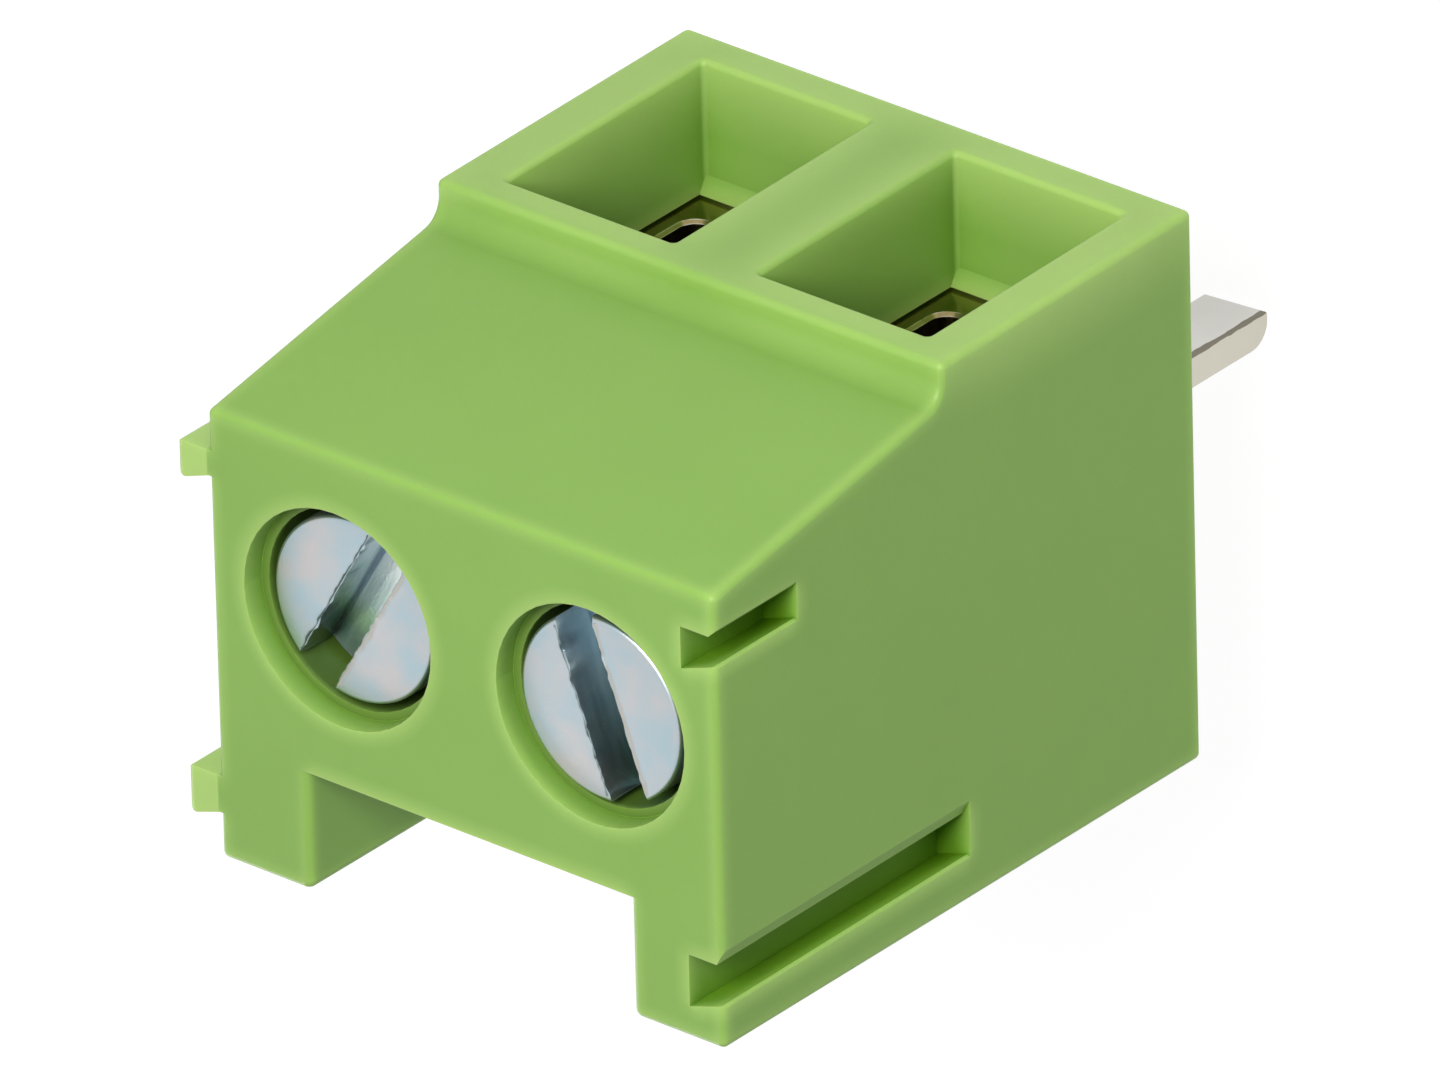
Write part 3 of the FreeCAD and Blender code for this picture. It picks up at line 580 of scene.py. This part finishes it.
slot_place = tree.nodes.new("ShaderNodeAttribute")
slot_place.attribute_name = "slot_place"
slot_apart = tree.nodes.new("ShaderNodeSeparateXYZ")
tree.links.new(slot_place.outputs["Vector"], slot_apart.inputs[0])
slot_axes = slot_apart.outputs
saw_marks = tree.nodes.new("ShaderNodeTexNoise")
saw_marks.inputs["Scale"].default_value = 1.0
saw_marks.inputs["Detail"].default_value = 3.0
drawn_out = tree.nodes.new("ShaderNodeVectorMath")
drawn_out.operation = "MULTIPLY"
drawn_out.inputs[1].default_value = (0.9, 9.0, 7.0)
tree.links.new(slot_place.outputs["Vector"], drawn_out.inputs[0])
tree.links.new(drawn_out.outputs["Vector"], saw_marks.inputs["Vector"])
slot_shade_fade = math_node(tree, "MULTIPLY_ADD", slot_axes["X"], fade_per_mm, fade_at_middle)
slot_shade_fade = clip(tree, math_node(tree, "ADD", slot_shade_fade, saw_marks.outputs["Fac"]))
across_slot = math_node(tree, "ABSOLUTE", slot_axes["Y"])
on_wall = math_node(tree, "GREATER_THAN", across_slot, SLOT_WIDTH / 2 - wall_band)
slot_painted_sheen = blend_colours(tree, on_wall, painted_sheen_floor, painted_shade_high_wall)
slot_painted_shade = blend_colours(tree, on_wall, painted_shade_low_floor, painted_shade_low_wall)
zinc = blend_colours(tree, in_slot, zinc, blend_colours(tree, slot_shade_fade, slot_painted_sheen, slot_painted_shade))
# Painted shade: the rounded rims outside the slot are painted darker, and made rougher.
shaded_rim = math_node(tree, "MULTIPLY", edge, outside_slot)
zinc = blend_colours(tree, shaded_rim, zinc, rim_shade_zinc)
on_burr = math_node(tree, "GREATER_THAN", slot_axes["Z"], burr_foot)
on_wide_side = math_node(tree, "GREATER_THAN", slot_axes["Y"], 0.0)
zinc = blend_colours(tree, on_burr, zinc, blend_colours(tree, on_wide_side, dark_burr, pale_burr))
tree.links.new(zinc, shader.inputs["Base Color"])
shader.inputs["Metallic"].default_value = 0.9
open_gloss = spread(tree, grain["Cloud"], 0.26, 0.40)
slot_gloss = spread(tree, outside_slot, 0.45, 1.0)
face_gloss = math_node(tree, "MULTIPLY", open_gloss, slot_gloss)
tree.links.new(math_node(tree, "MULTIPLY_ADD", shaded_rim, 0.35, face_gloss), shader.inputs["Roughness"])
add_bump(tree, shader, grain["Height"], strength=0.35, distance_mm=0.006)

thread_tree = make_thread_tree()
thread_sockets = {item.name: item.identifier for item in thread_tree.interface.items_tree}
for pole, slot_turn in SLOT_TURNS.items():
    name = f"clamping_screw_{pole}"
    low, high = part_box(name)
    neck_end = -HEAD_HEIGHT - NECK_LENGTH
    tip = (low.z - high.z) / MM

    neck = [(0, neck_end - NECK_OVERLAP), (NECK_RADIUS, neck_end - NECK_OVERLAP), (NECK_RADIUS, -HEAD_HEIGHT)]
    under_rim = [(HEAD_RADIUS - HEAD_UNDERCUT, -HEAD_HEIGHT), (HEAD_RADIUS, HEAD_UNDERCUT - HEAD_HEIGHT)]
    bend = [math.radians(15 * step) for step in range(7)]
    upper_rim = [
        (HEAD_RADIUS - HEAD_ROUND * (1 - math.cos(angle)), HEAD_ROUND * (math.sin(angle) - 1))
        for angle in bend
    ]
    profile = neck + under_rim + upper_rim + [(0, 0)]
    head = bpy.data.objects.new("head", turned_mesh("head", profile, steps=96))
    cutter = bpy.data.objects.new("cutter", slot_cutter(pole))
    scene.collection.objects.link(cutter)
    saw_cut = head.modifiers.new("sawn_slot", "BOOLEAN")
    saw_cut.operation = "DIFFERENCE"
    saw_cut.solver = "EXACT"
    saw_cut.object = cutter
    meshes = [settled_mesh(head), burr_mesh(pole, -1), burr_mesh(pole, 1)]
    bpy.data.objects.remove(cutter)

    shank = bpy.data.objects.new("shank", bpy.data.meshes.new("shank"))
    rolling = shank.modifiers.new("rolled_thread", "NODES")
    rolling.node_group = thread_tree
    rolling[thread_sockets["Length"]] = (neck_end - tip) * MM
    rolling[thread_sockets["Tip Radius"]] = (THREAD_CREST - TIP_BEVEL) * MM
    rolling[thread_sockets["Finish"]] = screw_material
    thread = settled_mesh(shank)
    thread.transform(Matrix.Translation((0, 0, tip)) @ Matrix.Scale(1 / MM, 4))
    meshes.append(thread)

    shape = bmesh.new()
    for mesh in meshes:
        shape.from_mesh(mesh)
        bpy.data.meshes.remove(mesh)
    for face in shape.faces:
        face.smooth = True
        face.material_index = 0
    bmesh.ops.recalc_face_normals(shape, faces=shape.faces)
    slot_layer = shape.verts.layers.float_vector.new("slot_place")
    for point in shape.verts:
        point[slot_layer] = point.co
    axis = Vector(((low.x + high.x) / 2, (low.y + high.y) / 2, high.z))
    seat = Matrix.Translation(axis) @ Matrix.Rotation(math.radians(slot_turn), 4, "Z") @ Matrix.Scale(MM, 4)
    bmesh.ops.transform(shape, matrix=seat, verts=shape.verts)
    screw_mesh = bpy.data.meshes.new(f"slotted_screw_{pole}")
    shape.to_mesh(screw_mesh)
    shape.free()
    screw_mesh.set_sharp_from_angle(angle=math.radians(32))
    screw_mesh.materials.clear()
    screw_mesh.materials.append(screw_material)
    screw = bpy.data.objects.new(f"slotted_screw_{pole}", screw_mesh)
    scene.collection.objects.link(screw)
    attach(screw, f"screw_{pole}")
    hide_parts(name)

# The floor is a white sheet under the pins' ends. It shows white to the camera and in the metal, and keeps a
# faint shadow of the block.
floor_height = cad_box[0][2]
floor_reach = 1500 * MM
corners = [(-1, -1), (1, -1), (1, 1), (-1, 1)]
floor_points = [(x * floor_reach, y * floor_reach, floor_height) for x, y in corners]
floor_mesh = bpy.data.meshes.new("floor")
floor_mesh.from_pydata(floor_points, [], [(0, 1, 2, 3)])
floor = bpy.data.objects.new("floor", floor_mesh)
scene.collection.objects.link(floor)
floor_material, tree, shader = new_material("white_floor")
lit_paper, paper_under_glow = (0.80, 0.80, 0.80), (0.16, 0.16, 0.16)
seen = seen_directly(tree)
tree.links.new(blend_colours(tree, seen, lit_paper, paper_under_glow), shader.inputs["Base Color"])
shader.inputs["Roughness"].default_value = 0.9
shader.inputs["Specular IOR Level"].default_value = 0.0
shader.inputs["Emission Color"].default_value = (1, 1, 1, 1)
tree.links.new(math_node(tree, "MULTIPLY", seen, 0.93), shader.inputs["Emission Strength"])
floor_mesh.materials.append(floor_material)
